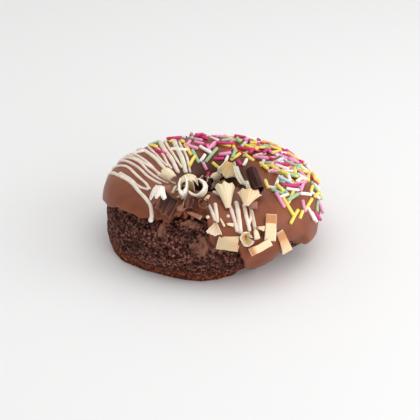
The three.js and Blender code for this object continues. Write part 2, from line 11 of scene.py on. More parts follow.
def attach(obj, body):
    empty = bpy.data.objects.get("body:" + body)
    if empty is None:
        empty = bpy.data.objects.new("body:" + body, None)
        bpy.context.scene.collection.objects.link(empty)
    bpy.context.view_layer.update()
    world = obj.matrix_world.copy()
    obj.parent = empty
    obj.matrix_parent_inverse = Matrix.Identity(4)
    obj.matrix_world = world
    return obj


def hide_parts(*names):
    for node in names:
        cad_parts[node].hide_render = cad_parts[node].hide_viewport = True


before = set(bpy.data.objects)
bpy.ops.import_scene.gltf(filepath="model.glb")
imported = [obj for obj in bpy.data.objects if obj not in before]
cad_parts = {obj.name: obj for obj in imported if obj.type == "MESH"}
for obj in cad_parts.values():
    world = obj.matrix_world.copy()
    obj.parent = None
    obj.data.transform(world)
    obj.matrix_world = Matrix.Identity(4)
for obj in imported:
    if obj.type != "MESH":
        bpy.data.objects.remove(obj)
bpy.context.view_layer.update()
print("frame loaded:", len(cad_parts), "nodes")

mm = 0.001

# without a seed, noise_vector starts from the clock
noise.seed_set(4060)

# the hole's axis stands here in the frame, mm
ringAxis = Vector((-0.537, 1.215, 0.0))

# the ring, as in the part: azimuth 0 at +X and -90 in front, tilt 0 outside, 90 at the crest and 180
# in the hole
ring = {
    "tubeRadius": 25.8, "tubeHeight": 11,
    "reachOut": 16, "reachIn": 16.2, "riseUp": 16.2, "dropDown": 15.5,
    "topSquareness": 2.8, "baseSquareness": 3,
    "crests": [(110, 60, 0.9), (165, 40, 0.9)],      # azimuth, half width, how much higher it is
    "tuckStart": 14, "tuckPower": 1.2,
    # azimuth, how far the side has drawn in at the base
    "tucks": [
        (-180, -0.4), (-165, -0.8), (-152, -0.5), (-137, 1.6), (-122, 3.3), (-97, 3.4), (-87, 4.7),
        (-78, 6.6), (-67, 10.2), (-58, 11.2), (-40, 10.5), (-24, 10), (-12, 6), (10, 4.5), (45, 3.2),
        (120, 3.2), (150, 2), (180, -0.4),
    ],
    "notch": {"azimuth": -43, "width": 8, "rise": 2, "softer": 0.4},   # between the drip and the skirt
    "skirt": {"azimuth": -25, "width": 9, "drop": 5},      # where the coating hangs out furthest
}

coat = {
    "thickness": 2.1,
    # how much thicker, then tilt and azimuth of the middle, each with its half width
    "swellings": [(0.4, 42, 22, 178, 40), (-0.9, 8, 16, 184, 36), (0.8, -15, 30, -60, 12)],
    "innerEdgeTilt": 196,
    "sunk": 0.35,                 # its inside below the crumb's surface, so that no gap shows
    # azimuth and height of its lower edge
    "edge": [
        (-180, 16.5), (-165, 19.3), (-150, 22.4), (-142, 23.2), (-134, 23), (-125, 24.2), (-117, 24),
        (-109, 26), (-98, 26.3), (-93, 26), (-90, 19), (-86, 17), (-77, 17), (-74, 12), (-71, 7),
        (-67, 4.4), (-61, 3.2), (-56, 3.2), (-53, 4.2), (-50, 6.5), (-47, 10), (-44, 12.8), (-40, 12),
        (-34, 9.4), (-28, 7.2), (-22, 6), (-15, 5.4), (0, 6), (30, 8), (60, 6.5), (90, 8), (120, 9),
        (150, 12), (180, 16.5),
    ],
    "lowestEdge": 2.6, "edgeWobble": 0.5, "brokenWobble": 1.6,     # mm
    "lipRound": 1.1, "lipRadius": 17,      # mm that the lip rounds off, and mm from the tube's middle
    "ripple": 0.12, "rippleSizes": (9, 3.5),
    "frontStep": 0.8, "backStep": 1.6,     # degrees between its columns
    "outsideRows": 62, "lipRows": 8, "insideRows": 26,
    "holeShadeRadii": (21, 12.5),               # the painted shade down the hole comes in between these distances from the hole's axis
    # the lumpy stretch: azimuth and half width, tilts where it begins and ends, and mm
    "broken": (-108, 15), "brokenFrom": (36, 50), "brokenTo": (86, 100),
    "lumpSizes": (2.6, 1.2), "lumpDepth": 1.3, "darkSize": 3,
    "colours": (("743A22", "8E5033"), "532A1A"),   # two on the outside, and the painted shade down in the hole, also laid where it is broken
}


# places on the ring

def wrapAngle(angle):
    return (angle + 180.0) % 360.0 - 180.0


def bump(angle, middle, width, power=2):
    # 1 at the middle, falling away over the width
    return exp(-(wrapAngle(angle - middle) / width) ** power)


def plateau(angle, middle, width):
    # the same, but level round the middle
    return bump(angle, middle, width, 4)


def clamp(value, low=0.0, high=1.0):
    return max(low, min(high, value))


def mix(a, b, share):
    return a + (b - a) * share


def smoothStep(value, low, high):
    share = clamp((value - low) / (high - low))
    return share * share * (3.0 - 2.0 * share)


def shares(count, first=1):
    # even steps up to 1, from 0 with first=0
    return [step / count for step in range(first, count + 1)]


def valueAt(table, azimuth):
    # a value between the rows of a table that goes once round, from azimuth -180 to 180
    at = wrapAngle(azimuth)
    for (fromAngle, fromValue), (toAngle, toValue) in zip(table, table[1:]):
        if at <= toAngle:
            return mix(fromValue, toValue, smoothStep(at, fromAngle, toAngle))
    return table[-1][1]


def tuckAt(azimuth, height):
    # how far the side draws in at a height
    notch, skirt = ring["notch"], ring["skirt"]
    inNotch = bump(azimuth, notch["azimuth"], notch["width"])
    hanging = skirt["drop"] * plateau(azimuth, skirt["azimuth"], skirt["width"])
    start = ring["tuckStart"] + notch["rise"] * inNotch - hanging
    low = clamp((start - height) / start)
    return valueAt(ring["tucks"], azimuth) * low ** (ring["tuckPower"] - notch["softer"] * inNotch)


def section(azimuth, tilt, lift=0.0):
    # radius from the hole's axis and height, mm
    across = cos(radians(tilt))
    up = sin(radians(tilt))
    halfWidth = ring["reachOut"] if across > 0 else ring["reachIn"]
    halfHeight, power = ring["dropDown"], ring["baseSquareness"]
    if up > 0:
        higher = sum(extra * bump(azimuth, middle, width) for middle, width, extra in ring["crests"])
        halfHeight, power = ring["riseUp"] + higher, ring["topSquareness"]
    total = abs(across / halfWidth) ** power + abs(up / halfHeight) ** power
    reach = total ** (-1.0 / power) + lift
    height = ring["tubeHeight"] + reach * up
    drawnIn = tuckAt(azimuth, height) if across > 0 else 0.0
    return ring["tubeRadius"] + reach * across - drawnIn, height


def ringPoint(azimuth, tilt, lift=0.0):
    # mm, in the frame
    radius, height = section(azimuth, tilt, lift)
    turn = radians(azimuth)
    return Vector((radius * cos(turn), radius * sin(turn), max(height, 0.0))) + ringAxis


def tiltAtHeight(azimuth, height, low=-85.0, high=90.0):
    # where the outside reaches a height, or the hole's side with low past 180
    for _ in range(30):
        middle = (low + high) / 2
        if section(azimuth, middle)[1] < height:
            low = middle
        else:
            high = middle
    return (low + high) / 2


def coatThickness(azimuth, tilt):
    thickness = coat["thickness"]
    for extra, tiltAt, tiltWidth, azimuthAt, azimuthWidth in coat["swellings"]:
        thickness += extra * bump(tilt, tiltAt, tiltWidth) * bump(azimuth, azimuthAt, azimuthWidth)
    return thickness


def coatPoint(azimuth, tilt):
    return ringPoint(azimuth, tilt, coatThickness(azimuth, tilt))


def levelAlong(azimuth):
    # the level direction round the ring
    turn = radians(azimuth)
    return Vector((-sin(turn), cos(turn), 0.0))


def lyingDirection(azimuth, out, turn):
    # the direction of a piece that lies on the coating, turned from level by some degrees
    level = levelAlong(azimuth)
    angle = radians(turn)
    return (level * cos(angle) + out.cross(level) * sin(angle)).normalized()


# meshes and materials

def linearColour(hexColour):
    # sRGB hex to linear red, green, blue, alpha
    channels = [int(hexColour[i:i + 2], 16) / 255 for i in (0, 2, 4)]
    return tuple(c / 12.92 if c <= 0.04045 else ((c + 0.055) / 1.055) ** 2.4 for c in channels) + (1.0,)


def setNode(node, **parts):
    # sets its properties, its inputs' values or links, by name with _ for a space, and a ramp's stops
    sockets = {socket.identifier.replace(" ", "_"): socket for socket in node.inputs}
    for name, value in parts.items():
        if name == "stops":
            stops, elements = list(value), node.color_ramp.elements
            while len(elements) < len(stops):
                elements.new(0.5)
            for element, (place, colour) in zip(elements, stops):
                element.position = place
                element.color = linearColour(colour)
        elif name not in sockets:
            setattr(node, name, value)
        elif isinstance(value, bpy.types.NodeSocket):
            node.id_data.links.new(value, sockets[name])
        else:
            sockets[name].default_value = value


def addNode(tree, kind, output=None, **parts):
    # adds a node and returns the output named, or else its first
    node = tree.nodes.new("ShaderNode" + kind)
    setNode(node, **parts)
    outputs = {socket.identifier: socket for socket in node.outputs}
    return outputs[output] if output else node.outputs[0]


def newMaterial(name):
    material = bpy.data.materials.new(name)
    material.use_nodes = True
    return material, material.node_tree


def finishMaterial(material, colour, relief, depthMm, strength, **shader):
    # its colour, the pattern of its fine relief, and the shader's even values
    tree = material.node_tree
    normal = addNode(tree, "Bump", Height=relief, Distance=depthMm * mm, Strength=strength)
    setNode(tree.nodes["Principled BSDF"], Base_Color=colour, Normal=normal, **shader)
    return material


def objectNoise(tree, sizeMm, detail=3.0, roughness=0.5, stretch=(1, 1, 1)):
    # noise whose lumps are about this many millimetres across
    place = addNode(tree, "TexCoord", "Object")
    scaled = addNode(tree, "Mapping", Vector=place, Scale=stretch)
    return addNode(
        tree, "TexNoise", Vector=scaled, Scale=1 / (sizeMm * mm), Detail=detail, Roughness=roughness)


def layColours(tree, below, *layers):
    # colours over one another, each where its share is 1: a socket, or the name of a vertex layer
    for share, colour in layers:
        if isinstance(share, str):
            share = addNode(tree, "Attribute", "Fac", attribute_name=share)
        if isinstance(colour, str):
            colour = linearColour(colour)
        below = addNode(
            tree, "Mix", "Result_Color", data_type="RGBA", Factor_Float=share, A_Color=below,
            B_Color=colour)
    return below


def layGrid(bm, columns, layers=()):
    # adds a grid, given as columns of points in mm, each with its values in the vertex layers
    kept = [bm.verts.layers.float.get(name) or bm.verts.layers.float.new(name) for name in layers]
    across, along = len(columns) - 1, len(columns[0]) - 1
    grid = bmesh.ops.create_grid(bm, x_segments=across, y_segments=along, size=1.0)["verts"]
    for vertex in grid:
        column = round((vertex.co.x + 1) / 2 * across)
        row = round((vertex.co.y + 1) / 2 * along)
        point, *values = columns[column][row]
        vertex.co = point * mm
        for layer, value in zip(kept, values):
            vertex[layer] = value
    bmesh.ops.remove_doubles(bm, verts=grid, dist=0.002 * mm)
    return bm


def keepMesh(bm, name):
    mesh = bpy.data.meshes.new(name)
    bm.to_mesh(mesh)
    bm.free()
    return mesh


def addObject(name, data):
    thing = bpy.data.objects.new(name, data)
    bpy.context.scene.collection.objects.link(thing)
    return thing


def finishPiece(bm, name, material, slot, replaced=()):
    bmesh.ops.recalc_face_normals(bm, faces=bm.faces[:])
    name = name.replace("_", "-")
    mesh = keepMesh(bm, name)
    mesh.shade_smooth()
    mesh.materials.append(material)
    piece = addObject(name, mesh)
    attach(piece, "root")
    if replaced:
        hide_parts(*replaced)


# the viewer, the table and the light

viewer = {
    "target": (-0.94, 1.215, 12), "elevation": 27, "distance": 480,         # mm and degrees
    "focalPixels": 1195, "imagePixels": 420, "sensor": 36,
}

room = {
    "tableReach": 1500, "tableBelow": 0.02, "tableColour": "EEEEEF",       # mm
    "wallColour": "F7F6F4", "wallGlow": 0.76,
    # name, place (mm from the doughnut), size (mm), watts
    "lights": [
        ("overhead", (60, 60, 620), 800, 1.2),
        ("right", (600, -100, 280), 500, 1.5),
        ("front", (420, -660, 130), 500, 1.9),
    ],
    "lightsAim": (0, 0, 15),
}


def makeCamera():
    camera = bpy.data.cameras.new("viewer")
    camera.lens = viewer["focalPixels"] / viewer["imagePixels"] * viewer["sensor"]
    camera.sensor_width = viewer["sensor"]
    camera.clip_end = 10.0
    seat = addObject("viewer", camera)
    rise = radians(viewer["elevation"])
    back = Vector((0.0, -cos(rise), sin(rise)))
    seat.location = (Vector(viewer["target"]) + viewer["distance"] * back) * mm
    seat.rotation_euler = (pi / 2 - rise, 0.0, 0.0)
    bpy.context.scene.camera = seat


def makeTable():
    bm = bmesh.new()
    bmesh.ops.create_grid(bm, x_segments=2, y_segments=2, size=room["tableReach"] * mm)
    bmesh.ops.translate(bm, verts=bm.verts[:], vec=(0, 0, -room["tableBelow"] * mm))
    # matt white paper, rough enough that nothing mirrors in it
    material, tree = newMaterial("paper sweep, matt white")
    setNode(
        tree.nodes["Principled BSDF"], Base_Color=linearColour(room["tableColour"]), Roughness=0.75)
    mesh = keepMesh(bm, "table")
    mesh.materials.append(material)
    addObject("table", mesh)


def makeLights():
    for name, place, size, watts in room["lights"]:
        lamp = bpy.data.lights.new(name, "AREA")
        lamp.shape = "DISK"
        lamp.size = size * mm
        lamp.energy = watts
        stand = addObject(name, lamp)
        stand.location = Vector(place) * mm
        aim = Vector(room["lightsAim"]) - Vector(place)
        stand.rotation_euler = aim.to_track_quat("-Z", "Y").to_euler()
    world = bpy.data.worlds.new("white room")
    world.use_nodes = True
    walls = world.node_tree.nodes["Background"]
    setNode(walls, Color=linearColour(room["wallColour"]), Strength=room["wallGlow"])
    scene = bpy.context.scene
    scene.world = world
    scene.view_settings.view_transform = "Standard"
    scene.view_settings.look = "None"


makeCamera()
makeTable()
makeLights()
print("camera, table and light done")


# crumb cake: the bare side has real pores, the rest lies under the coating

crumb = {
    "frontStep": 0.55, "backStep": 2,        # degrees between its columns
    "front": (-186, -34),                    # the sector where it is bare
    "bareRows": 78, "underRows": 12, "holeRows": 8, "baseRows": 4,
    "underCoat": 6, "pastLip": 4,            # degrees that it goes on under the coating's two edges
    "coarsePore": 2.7, "finePore": 1.2,      # mm from pore to pore
    "coarseDepth": 1.15, "fineDepth": 0.5,   # mm
    "flatter": 1.5,                          # how much wider than high a pore is
    "holePore": 2.2, "holeDepth": 0.5,
    "crag": 0.9, "cragSizes": (7, 3.2),
    "bandTop": 6, "bandUneven": 7,           # height of the redder crust where it met the tin, mm
    "bandSoft": 3,
    "fissure": 1.3, "fissureSize": (5.5, 1.9), "fissurePatch": 9,       # mm deep, long and high
    # smears of coating on the crumb: azimuth, height, half width in degrees and in mm
    "smears": [(-95, 17.5, 6.5, 3.3), (-90, 18.5, 3, 3.6), (-117, 22, 2.6, 3.6), (-103, 24.5, 7, 1)],
    "smearRise": 0.8, "smearFill": 0.75,     # mm that they stand out, and how much of a pore they fill
    # hollows under the coating's edge: the same, and their depth in mm
    "cavities": [(-150, 20.5, 3.4, 1.9, 1.7), (-141, 22, 3, 1.6, 1.5), (-126, 22.5, 2.6, 1.2, 1)],
    "colours": {
        # the pore colour is painted shade, nearly black in the pores and cracks
        "pore": "0C0505", "deep": "200D0A", "middle": "5C2F27", "ridge": "A06C5E",
        "base": ("54241A", "7E3E29", "BC7450"), "smear": ("4E2C22", "946250"),
    },
}


def ringAzimuths(piece):
    # once round the ring, closer together in the sector where the crumb is bare
    start, end = crumb["front"]
    frontCount = round((end - start) / piece["frontStep"])
    backCount = round((360 - (end - start)) / piece["backStep"])
    azimuths = [mix(start, end, share) for share in shares(frontCount, 0)[:-1]]
    return azimuths + [mix(end, start + 360, share) for share in shares(backCount, 0)]


def ridgePores(point, size):
    # 1 in the middle of a pore, 0 on the walls between them; each has its own width and depth
    where = point / size
    near, seeds = noise.voronoi(where + 0.5 * noise.noise_vector(where * 1.7))[:2]
    chance = noise.cell(seeds[0] * 37.0)
    return (1.0 - smoothStep(near[0], 0.12, 0.42 + 0.25 * chance)) * (0.5 + 0.5 * chance)


def fromPatch(azimuth, height, middle, level, halfAngle, halfHeight):
    # 0 in the middle of a patch, 1 at its edge
    return hypot(wrapAngle(azimuth - middle) / halfAngle, (height - level) / halfHeight)


def smearShare(azimuth, height):
    wobble = 0.6 * noise.noise((azimuth * 0.22, height * 0.35, 3.0))
    wobble += 0.4 * noise.noise((azimuth * 0.6, height * 0.9, 8.0))
    nearest = min(fromPatch(azimuth, height, *smear) for smear in crumb["smears"])
    return 1.0 - smoothStep(nearest + wobble, 0.85, 1.0)


def crumbRelief(azimuth, tilt):
    # depth below the ring's surface in mm, how much of a pore or crack it is, which sets the painted shade
    # there, and how much of a smear
    point = ringPoint(azimuth, tilt) - ringAxis
    grain = Vector((point.x, point.y, point.z * crumb["flatter"]))
    coarse = ridgePores(grain, crumb["coarsePore"])
    fine = ridgePores(grain + Vector((31, 7, 5)), crumb["finePore"])
    large, small = crumb["cragSizes"]
    swell = noise.noise(point / large) + 0.5 * noise.noise(point / small)
    long, high = crumb["fissureSize"]
    crack = noise.noise((point.x / long, point.y / long, point.z / high + 0.1 * azimuth))
    crack = 1.0 - smoothStep(abs(crack), 0.0, 0.1)
    crack *= smoothStep(noise.noise(point / crumb["fissurePatch"] + Vector((4, 9, 2))), -0.1, 0.25)
    smear = smearShare(azimuth, point.z)
    depth = crumb["coarseDepth"] * coarse + crumb["fineDepth"] * fine + crumb["fissure"] * crack
    depth *= 1.0 - crumb["smearFill"] * smear
    depth += crumb["crag"] * (0.35 + 0.5 * swell) - crumb["smearRise"] * smear
    for *patch, hollow in crumb["cavities"]:
        depth += hollow * (1.0 - smoothStep(fromPatch(azimuth, point.z, *patch), 0.4, 1.1))
    # painted shade in the pores and cracks, where the crumb is deepest
    pore = smoothStep(0.85 * coarse + 0.7 * fine + 0.9 * crack, 0.1, 0.75)
    return depth, pore * (1.0 - smear), smear


def crumbColumn(azimuth):
    # its section from the foot outside up, over, down the hole and back along the underside
    low = tiltAtHeight(azimuth, 0.0)
    edge = tiltAtHeight(azimuth, valueAt(coat["edge"], azimuth))
    inner = tiltAtHeight(azimuth, 0.0, 265.0)
    under = edge + crumb["underCoat"]
    lip = coat["innerEdgeTilt"] - crumb["pastLip"]
    column = []
    for share in shares(crumb["bareRows"], 0):
        tilt = mix(low, under, share)
        depth, pore, smear = crumbRelief(azimuth, tilt)
        fade = smoothStep(share, 0.0, 0.05) * (1 - smoothStep(tilt, edge + 2, under))
        column.append((ringPoint(azimuth, tilt, -depth * fade), pore * fade, smear * fade))
    for share in shares(crumb["underRows"]):
        column.append([ringPoint(azimuth, mix(under, lip, share))])
    for share in shares(crumb["holeRows"]):
        tilt = mix(lip, inner, share)
        point = ringPoint(azimuth, tilt)
        relief = crumb["holeDepth"] * ridgePores(point, crumb["holePore"]) * smoothStep(point.z, 0.5, 2)
        column.append([ringPoint(azimuth, tilt, -relief)])
    for share in shares(crumb["baseRows"]):
        point = ringPoint(azimuth, inner).lerp(ringPoint(azimuth, low), share)
        point.z = 0.0
        column.append([point])
    return column


def crumbMaterial():
    # baked chocolate sponge: dry and matt, its pores painted nearly black with shade, redder where it met
    # the tin
    material, tree = newMaterial("chocolate sponge, baked crumb")
    colours = crumb["colours"]
    # painted shade: darkest in the pores and cracks, in pits too small for the mesh, and in large painted
    # shadow patches
    dark = addNode(tree, "Attribute", "Fac", attribute_name="pore")
    shadedPits = (objectNoise(tree, 0.9, 2.0, 0.6), 0.47, 0.85)
    shadowPatches = (objectNoise(tree, 7.0, 2.0, 0.5, (0.8, 0.8, 1.8)), 0.52, 0.62)
    for pattern, start, most in (shadedPits, shadowPatches):
        share = addNode(tree, "MapRange", Value=pattern, From_Min=start, From_Max=0.36, To_Max=most)
        dark = addNode(tree, "Math", operation="MAXIMUM", Value=dark, Value_001=share)
    # the fine grain: partly the crumb's own uneven tone, partly painted light, with painted shade at its
    # dark end (deep) and a painted highlight at its light end (ridge) on grain too fine for the mesh
    grainToneAndLight = addNode(
        tree, "ValToRGB", Fac=objectNoise(tree, 1.1, 4.0, 0.7),
        stops=[(0.4, colours["deep"]), (0.5, colours["middle"]), (0.61, colours["ridge"])])
    # the crust reaches up to an uneven height
    height = addNode(tree, "SeparateXYZ", "Z", Vector=addNode(tree, "TexCoord", "Object"))
    reached = addNode(
        tree, "Math", operation="MULTIPLY_ADD", Value=objectNoise(tree, 4.5, 3.0, 0.6),
        Value_001=crumb["bandUneven"] * mm, Value_002=height)
    top = (crumb["bandTop"] + crumb["bandUneven"] / 2) * mm
    band = addNode(
        tree, "MapRange", Value=reached, From_Min=top, From_Max=top - crumb["bandSoft"] * mm,
        To_Max=0.95)
    # its darkest stop is the painted shade of the pores
    crust = addNode(
        tree, "ValToRGB", Fac=objectNoise(tree, 1.0, 3.0, 0.65),
        stops=zip((0.38, 0.46, 0.56, 0.67), (colours["pore"],) + colours["base"]))
    glossy = addNode(
        tree, "ValToRGB", Fac=objectNoise(tree, 2.6, 3.0, 0.6, (1.0, 1.0, 0.5)),
        stops=zip((0.36, 0.64), colours["smear"]))
    # smears are chocolate, so they shine more than the crumb
    smear = addNode(tree, "Attribute", "Fac", attribute_name="smear")
    return finishMaterial(
        material, layColours(tree, grainToneAndLight, (dark, colours["pore"]), (band, crust), (smear, glossy)),
        objectNoise(tree, 0.6, 3.0, 0.6), 0.5, 0.9, Specular_IOR_Level=0.15,
        Roughness=addNode(tree, "MapRange", Value=smear, To_Min=0.9, To_Max=0.38))


bm = layGrid(bmesh.new(), [crumbColumn(azimuth) for azimuth in ringAzimuths(crumb)], ["pore", "smear"])
finishPiece(bm, "crumbCake", crumbMaterial(), "crumb", ["cake"])
print("crumb done")


# milk chocolate coating

def brokenShare(azimuth, tilt):
    # 1 where the coating is broken and lumpy, under the heap of curls at the front
    begun = smoothStep(tilt, *coat["brokenFrom"])
    return plateau(azimuth, *coat["broken"]) * begun * (1 - smoothStep(tilt, *coat["brokenTo"]))


def coatSurface(azimuth, tilt):
    point = ringPoint(azimuth, tilt)
    long, short = coat["rippleSizes"]
    ripple = noise.noise(point / long) + 0.4 * noise.noise(point / short)
    large, small = coat["lumpSizes"]
    lumps = noise.noise(point / large + Vector((5, 1, 8))) + 0.5 * noise.noise(point / small)
    sunk = brokenShare(azimuth, tilt) * clamp(0.45 - 1.1 * lumps) * coat["lumpDepth"]
    return coatThickness(azimuth, tilt) + coat["ripple"] * ripple - sunk


def holeShadeAndBrokenShare(point):
    # painted shade: 0 on top and 1 down in the hole; and darker here and there where it is broken
    spot = point - ringAxis
    radius = spot.to_2d().length
    azimuth = degrees(atan2(spot.y, spot.x))
    tilt = degrees(atan2(spot.z - ring["tubeHeight"], radius - ring["tubeRadius"]))
    dark = brokenShare(azimuth, tilt) * clamp(0.1 + 1.8 * noise.noise(spot / coat["darkSize"]))
    start, end = coat["holeShadeRadii"]
    return max(1.0 - smoothStep(radius, end, start), dark)


def coatColumn(azimuth):
    # its section: the outside, round the lip in the hole, back inside and round the lower lip
    wobble = coat["edgeWobble"] * noise.noise((azimuth * 0.16, 1.7, 0.0))
    ragged = noise.noise((azimuth * 0.45, 5.2, 0.0))
    wobble += coat["brokenWobble"] * brokenShare(azimuth, 60.0) * ragged
    edge = max(valueAt(coat["edge"], azimuth) + wobble, coat["lowestEdge"])
    lean = degrees(coat["lipRound"] / coat["lipRadius"])
    low = tiltAtHeight(azimuth, edge) + lean
    high = coat["innerEdgeTilt"] - lean
    points = []
    for share in shares(coat["outsideRows"], 0):
        tilt = mix(low, high, share)
        points.append(ringPoint(azimuth, tilt, coatSurface(azimuth, tilt)))

    def addLip(tilt, turn, outwards):
        # half round, turned from the outside in or from the inside out
        reach = (coatSurface(azimuth, tilt) + coat["sunk"]) / 2
        for share in shares(coat["lipRows"]):
            angle = pi * (turn + outwards * share)
            lift = -coat["sunk"] + reach * (1 - cos(angle))
            further = -outwards * degrees(reach * sin(angle) / coat["lipRadius"])
            points.append(ringPoint(azimuth, tilt + further, lift))

    addLip(high, 1, -1)
    for share in shares(coat["insideRows"]):
        points.append(ringPoint(azimuth, mix(high, low, share), -coat["sunk"]))
    addLip(low, 0, 1)
    return [(point, holeShadeAndBrokenShare(point)) for point in points]


def coatingMaterial():
    # milk chocolate set on a cold cake: satin, slightly uneven, darkened down in the hole by painted
    # shade, and darker where it is broken
    material, tree = newMaterial("milk chocolate coating, set")
    tones, thin = coat["colours"]
    shade = addNode(
        tree, "ValToRGB", Fac=objectNoise(tree, 11.0, 3.0, 0.55), stops=zip((0.3, 0.7), tones))
    return finishMaterial(
        material, layColours(tree, shade, ("thin", thin)), objectNoise(tree, 2.4), 0.08, 0.6,
        Roughness=0.4, IOR=1.46, Specular_IOR_Level=0.3, Subsurface_Weight=0.06,
        Subsurface_Radius=(0.0012, 0.0006, 0.0003))


# the layer named thin carries the painted shade of the hole and the dark of the broken stretch
bm = layGrid(bmesh.new(), [coatColumn(azimuth) for azimuth in ringAzimuths(coat)], ["thin"])
finishPiece(bm, "chocolateCoating", coatingMaterial(), "coating", ["coating"])
print("coating done")


# white chocolate drizzle, half sunk in the coating

drizzle = {
    "sides": 14, "step": 0.35,       # mm between its rings
    "samples": 200, "fewestRings": 8,
    "rise": 0.44,                    # height above the coating, as a share of the width
    "sunk": 0.4,                     # mm below it
    "taper": 0.55,                   # its round ends, as a share of the width
    "unevenness": 0.14, "unevenLength": 2.5,
    # colour, width in mm, azimuth and tilt of each line's points
    "lines": [
        ("cream", 1.5, [(166, 22), (172, 45), (-164, 68), (-144, 68), (-131, 61), (-125, 50), (-124, 43)]),
        ("pink", 1.3, [(-179, 60), (-166, 70), (-152, 74), (-144, 79)]),
        ("cream", 1.2, [(158, 26), (168, 52), (178, 71), (-158, 83), (-144, 81)]),
        ("pink", 1.3, [(153, 28), (162, 56), (178, 81), (-163, 92), (-147, 99)]),
        ("cream", 1.2, [(149, 30), (160, 62), (170, 82), (-172, 95), (-146, 108)]),
        ("pink", 1.3, [(146, 32), (157, 63), (178, 97), (-161, 108), (-143, 116)]),
        ("cream", 1.2, [(142, 34), (155, 67), (170, 92), (-168, 107)]),
        ("cream", 1.8, [(137, 36), (146, 68), (158, 95), (176, 112)]),
        ("pink", 1.1, [(139, 66), (151, 92), (168, 114)]),
        ("cream", 1.1, [(134, 68), (147, 98), (170, 119)]),
        ("pink", 2, [(122, 48), (133, 80), (149, 111), (172, 128)]),
        ("yellow", 1.2, [(122, 60), (136, 101), (152, 127)]),
        ("green", 2.2, [(114, 44), (120, 77), (134, 115), (154, 135)]),
        ("pink", 1.1, [(116, 78), (126, 116), (141, 137)]),
        ("pink", 1.3, [(-92, 80), (-89, 62), (-87.5, 52)]),
        ("cream", 1.5, [(-87, 82), (-86.5, 50)]),
        ("pink", 1.4, [(-77, 76), (-77, 56), (-76.5, 38)]),
        ("cream", 1.8, [(-71, 82), (-74, 55), (-75, 36)]),
        ("cream", 1.5, [(-67, 74), (-69.5, 55), (-70, 37)]),
        ("pink", 1.1, [(-64, 68), (-66.5, 55), (-70, 44)]),
        ("pink", 0.9, [(-65, 60), (-67, 42), (-65.5, 28)]),
    ],
    # drops beside the lines: colour, azimuth, tilt, radius
    "drops": [
        ("cream", -92, 58, 0.75), ("pink", -80, 58, 0.7), ("pink", -60, 73, 0.6), ("cream", -124, 44, 1),
    ],
    "dropFlatness": 0.8,
    "colours": {"cream": "E4D3BE", "pink": "E0C6BC", "yellow": "E0D09A", "green": "C3CBA9"},
    "lightest": "F2E9DC",
}


def splinePoint(points, share):
    # a smooth curve through the points
    spans = len(points) - 1
    place = clamp(share) * spans
    span = min(int(place), spans - 1)
    t = place - span
    p1, p2 = points[span], points[span + 1]
    p0 = points[span - 1] if span > 0 else p1 * 2 - p2
    p3 = points[span + 2] if span + 2 <= spans else p2 * 2 - p1
    return 0.5 * (2 * p1 + (p2 - p0) * t + (2 * p0 - 5 * p1 + 4 * p2 - p3) * t * t
                  + (3 * p1 - p0 - 3 * p2 + p3) * t ** 3)


def onCoat(azimuth, tilt, lift=0.0):
    # a point on the coating and the direction out of it, mm
    surface = coatSurface(azimuth, tilt)
    point = ringPoint(azimuth, tilt, surface + lift)
    return point, (ringPoint(azimuth, tilt, surface + lift + 1.0) - point).normalized()


def drizzlePlaces(points):
    # even steps along a line on the coating: point, outwards, across, distance from its start
    turned = [Vector((*points[0], 0.0))]
    for azimuth, tilt in points[1:]:
        turned.append(Vector((turned[-1].x + wrapAngle(azimuth - turned[-1].x), tilt, 0.0)))
    last = drizzle["samples"]
    fine = [splinePoint(turned, share) for share in shares(last, 0)]
    spots = [onCoat(p.x, p.y)[0] for p in fine]
    lengths = [0.0]
    for a, b in zip(spots, spots[1:]):
        lengths.append(lengths[-1] + (b - a).length)
    count = max(drizzle["fewestRings"], round(lengths[-1] / drizzle["step"]))
    places = []
    for share in shares(count, 0):
        goal = lengths[-1] * share
        k = next(j for j, length in enumerate(lengths) if length >= goal - 1e-6)
        point, out = onCoat(fine[k].x, fine[k].y)
        ahead = spots[min(k + 1, last)] - spots[max(k - 1, 0)]
        places.append((point, out, ahead.cross(out).normalized(), goal))
    return places, lengths[-1]


def drizzleLine(bm, width, points, number):
    places, length = drizzlePlaces(points)
    columns = []
    for share in shares(drizzle["sides"], 0):
        up = sin(tau * share)
        up *= drizzle["rise"] * width if up > 0 else drizzle["sunk"]
        aside = cos(tau * share) * width / 2
        column = []
        for point, out, across, along in places:
            end = clamp(min(along, length - along) / (drizzle["taper"] * width))
            full = sqrt(max(0.0, 1 - (1 - end) ** 2))
            bulge = noise.noise((along / drizzle["unevenLength"], number * 7.3, 0.0))
            full *= 1 + drizzle["unevenness"] * bulge
            column.append([point + across * (aside * full) + out * (up * full)])
        columns.append(column)
    layGrid(bm, columns)


def makeDrizzle(colour):
    bm = bmesh.new()
    for number, (tint, width, points) in enumerate(drizzle["lines"]):
        if tint == colour:
            drizzleLine(bm, width, points, number)
    for tint, azimuth, tilt, radius in drizzle["drops"]:
        if tint == colour:
            point, out = onCoat(azimuth, tilt)
            turn = Vector((0, 0, 1)).rotation_difference(out).to_matrix().to_4x4()
            flat = Matrix.Diagonal((radius, radius, radius * drizzle["dropFlatness"], 1.0))
            spot = Matrix.Translation(point * mm) @ turn @ Matrix.Scale(mm, 4) @ flat
            bmesh.ops.create_uvsphere(bm, u_segments=14, v_segments=10, radius=1.0, matrix=spot)
    return bm


def drizzleMaterial(colour):
    # melted white chocolate, piped and set: smooth, satin, slightly see-through at its edges
    material, tree = newMaterial(colour + " drizzle, white chocolate")
    shade = addNode(
        tree, "ValToRGB", Fac=objectNoise(tree, 5.0, 2.0),
        stops=[(0.25, drizzle["colours"][colour]), (0.75, drizzle["lightest"])])
    return finishMaterial(
        material, shade, objectNoise(tree, 1.2, 2.0), 0.06, 0.6, Roughness=0.42, IOR=1.45,
        Subsurface_Weight=0.25, Subsurface_Radius=(0.0012, 0.0009, 0.0006))


for tint in drizzle["colours"]:
    finishPiece(makeDrizzle(tint), tint + "Drizzle", drizzleMaterial(tint), "drizzle", ["coating"])
print("drizzle done")


# sugar strands, one piece for each colour

